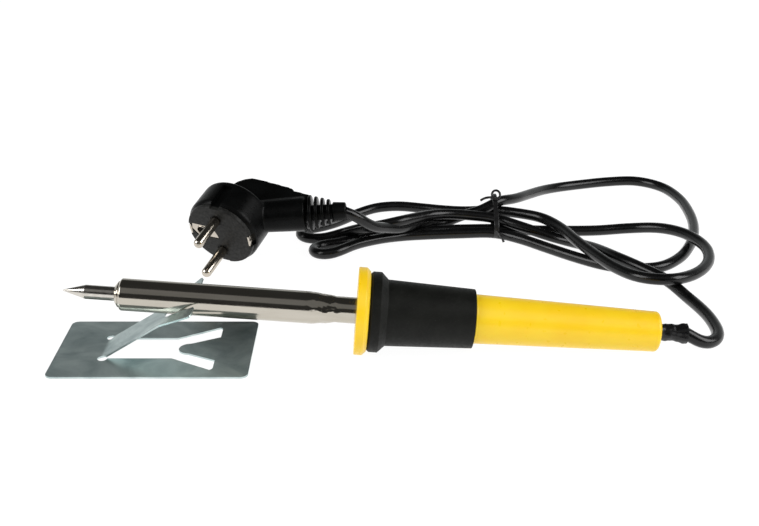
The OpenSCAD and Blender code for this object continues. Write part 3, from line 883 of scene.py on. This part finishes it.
plate = prism(
    "earth_plate", [(x * 0.985 - 0.13, y * 0.96) for x, y in EARTH_PLATE], 0.35, 0.75, PLUG
)
cut(plate, rod("earth_way", -1, 2, 2.9, EARTH_X, 0, matrix=PLUG, upright=True))
tube = lathe(
    "earth_tube",
    rounded([(6.9, 0), (6.9, 2.95), (0.0, 2.95, 0.15), (0.0, 2.45, 0.2), (6.2, 2.45), (6.2, 0)]),
    PLUG @ Matrix.Translation(Vector((EARTH_X, 0, 0)) * MM), 48, upright=True,
)
socket = join("earth_contact", plate, tube)
dress(shade(socket, 30), "contact_nickel")
place(socket, "base", "contact_nickel", "plug_earth_socket")

# ---- Stand ----
PLATE_X, PLATE_L, PLATE_W, SHEET_T = -125.5, 81.5, 51.4, 0.75
PLATE_Y, FORK_Y, GAP_Y = 0.8, 0.8, 0.3
FOLD_X = -105.4
FORK_ANGLE = math.radians(31.6)
STEM, FLARE_L, CROTCH_L, CROTCH_R = 18.5, 28.6, 30.1, 4.7
TINE_L, FORK_GAP, FORK_W = 46.4, 21.5, 39.6
BEND_R = 4.8


def arc(cx, cy, r, a0, a1, n):
    angles = np.radians(np.linspace(a0, a1, n + 1))
    return [(cx + r * math.cos(a), cy + r * math.sin(a)) for a in angles]


def fork_outline(grow=0.0, root=0.0):
    """The fork's outline from its fold at x = 0, with a root behind the fold."""
    outer, neck, crotch = FORK_W / 2 + grow, STEM / 2 + grow, CROTCH_R - grow
    middle = CROTCH_L + CROTCH_R
    shift = GAP_Y - FORK_Y
    end = TINE_L + grow
    gap = crotch + (FORK_GAP / 2 - CROTCH_R) / (TINE_L - middle) * (end - middle)
    return (
        [(-root, -neck), (FLARE_L, -neck)]
        + arc(end - 2.2, -outer + 2.4, 2.2, -62, 0, 6)
        + [(end, shift - gap)]
        + arc(middle, shift, crotch, 270, 90, 24)
        + [(end, shift + gap)]
        + arc(end - 2.2, outer - 2.4, 2.2, 0, 62, 6)
        + [(FLARE_L, neck), (-root, neck)]
    )


def at_fold(outline):
    return [(x + FOLD_X, y + FORK_Y) for x, y in outline]


def inside(x, y, outline):
    hit = False
    for (ax, ay), (bx, by) in zip(outline, outline[1:] + outline[:1]):
        if (ay > y) != (by > y) and x < (bx - ax) * (y - ay) / (by - ay) + ax:
            hit = not hit
    return hit


x0, x1, y0, y1 = PLATE_X, PLATE_X + PLATE_L, PLATE_Y - PLATE_W / 2, PLATE_Y + PLATE_W / 2
stand = prism(
    "fork_stand",
    arc(x1 - 3, y1 - 3, 3, 0, 90, 8) + arc(x0 + 3, y1 - 3, 3, 90, 180, 8)
    + arc(x0 + 3, y0 + 3, 3, 180, 270, 8) + arc(x1 - 3, y0 + 3, 3, 270, 360, 8),
    0, SHEET_T,
)
cut(stand, prism("fork_gap", at_fold(fork_outline(0.15)), -1, 2))
cut(stand, prism("fork", at_fold(fork_outline(0, 7)), 0, SHEET_T), operation="UNION")
reliefs = [FORK_Y + s * (STEM / 2 + 0.4) for s in (-1, 1)]
cut(stand, *[rod("relief", -1, 2, 2, FOLD_X, y, upright=True, around=40) for y in reliefs])


def bend_stand():
    """Bends the fork up about its fold."""
    reach = BEND_R * math.tan(FORK_ANGLE / 2)
    bm = bmesh.new()
    bm.from_mesh(stand.data)
    for x in np.linspace(FOLD_X - reach, FOLD_X + reach, 11):
        geometry = bm.verts[:] + bm.edges[:] + bm.faces[:]
        at = Vector((x, 0, 0)) * MM
        bmesh.ops.bisect_plane(bm, geom=geometry, plane_co=at, plane_no=(1, 0, 0), dist=1e-7)
    border = fork_outline(0.075, 7)
    for v in bm.verts:
        x, y, z = v.co / MM
        s = x - FOLD_X
        if s <= -reach or not inside(s, y - FORK_Y, border):
            continue
        if s < reach:
            a = FORK_ANGLE * (s + reach) / (2 * reach)
            r = BEND_R - z
            new = (FOLD_X - reach + r * math.sin(a), y, BEND_R - r * math.cos(a))
        else:
            c, d = math.cos(FORK_ANGLE), math.sin(FORK_ANGLE)
            new = (FOLD_X + s * c - z * d, y, s * d + z * c)
        v.co = Vector(new) * MM
    bm.to_mesh(stand.data)
    bm.free()
    stand.data.update()


bend_stand()
dress(shade(stand, 25), "zinc_sheet")
place(stand, "base", "zinc_sheet", "stand")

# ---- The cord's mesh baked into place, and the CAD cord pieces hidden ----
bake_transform(cord)
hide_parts("cord_lead", "cord_hank")

# ---- Studio ----
world = bpy.data.worlds.new("studio")
bpy.context.scene.world = world
world.use_nodes = True
wt = world.node_tree
back = wt.nodes["Background"]
coords = wt.nodes.new("ShaderNodeTexCoord")
split = wt.nodes.new("ShaderNodeSeparateXYZ")
wt.links.new(coords.outputs["Generated"], split.inputs["Vector"])


def world_range(socket, low, high, to_low=0.0, to_high=1.0):
    node = wt.nodes.new("ShaderNodeMapRange")
    node.interpolation_type = "SMOOTHSTEP"
    for key, number in zip(RANGE, (low, high, to_low, to_high)):
        node.inputs[key].default_value = number
    wt.links.new(socket, node.inputs["Value"])
    return node.outputs["Result"]


behind = world_range(split.outputs["Y"], 0.1, 0.7)
low = world_range(split.outputs["Z"], 0.25, 0.62, 1.0, 0.0)
glow = wt.nodes.new("ShaderNodeMath")
glow.operation = "MULTIPLY"
wt.links.new(behind, glow.inputs[0])
wt.links.new(low, glow.inputs[1])
tone = wt.nodes.new("ShaderNodeMix")
tone.data_type = "RGBA"
tone.inputs["A"].default_value = (0.035, 0.035, 0.034, 1)
tone.inputs["B"].default_value = (0.54, 0.56, 0.56, 1)
wt.links.new(glow.outputs[0], tone.inputs["Factor"])
wt.links.new(tone.outputs["Result"], back.inputs["Color"])

floor = link("floor", bpy.data.meshes.new("floor"))
FLOOR_Z = -5e-5
corners = [(-3, -3, FLOOR_Z), (3, -3, FLOOR_Z), (3, 3, FLOOR_Z), (-3, 3, FLOOR_Z)]
floor.data.from_pydata(corners, [], [(0, 1, 2, 3)])
paper = Surface("paper", roughness=0.9)
paper.shader.inputs["Emission Strength"].default_value = 0.97
paper.shader.inputs["Emission Color"].default_value = (1, 1, 1, 1)
paper.colour(paper.ramp(paper.noise(400, 2), (0.3, (0.09, 0.09, 0.09)), (0.7, (0.11, 0.11, 0.11))))
floor.data.materials.append(paper.material)


def softbox(name, where, target, width, height, radiance, colour=(1, 1, 1)):
    light = bpy.data.lights.new(name, "AREA")
    light.shape = "RECTANGLE"
    light.size, light.size_y = width, height
    light.energy = radiance * math.pi * width * height
    light.color = colour
    obj = bpy.data.objects.new(name, light)
    bpy.context.scene.collection.objects.link(obj)
    obj.location = where
    obj.rotation_euler = (Vector(target) - Vector(where)).to_track_quat("-Z", "Y").to_euler()
    return obj


AIM = (0.02, 0.05, 0.01)
softbox("left_box", (-1.25, -0.35, 0.75), AIM, 0.9, 0.9, 5.0)
softbox("right_box", (1.25, -0.25, 0.75), AIM, 0.9, 0.9, 5.0)
softbox("front_strip", (0.0, -0.85, 1.15), AIM, 1.7, 1.0, 0.17)
fill = softbox("fill", (0.1, -0.9, 1.2), AIM, 1.8, 1.2, 1.5)
fill.visible_glossy = False

camera = bpy.data.cameras.new("camera")
camera.lens = 56.92
camera.sensor_width = 36
camera.clip_start = 0.02
eye = bpy.data.objects.new("camera", camera)
eye.location = (0.0089, -0.4495, 0.2287)
eye.rotation_euler = (math.radians(67.2), 0, 0)
bpy.context.scene.collection.objects.link(eye)
bpy.context.scene.camera = eye
bpy.context.scene.view_settings.view_transform = "Standard"
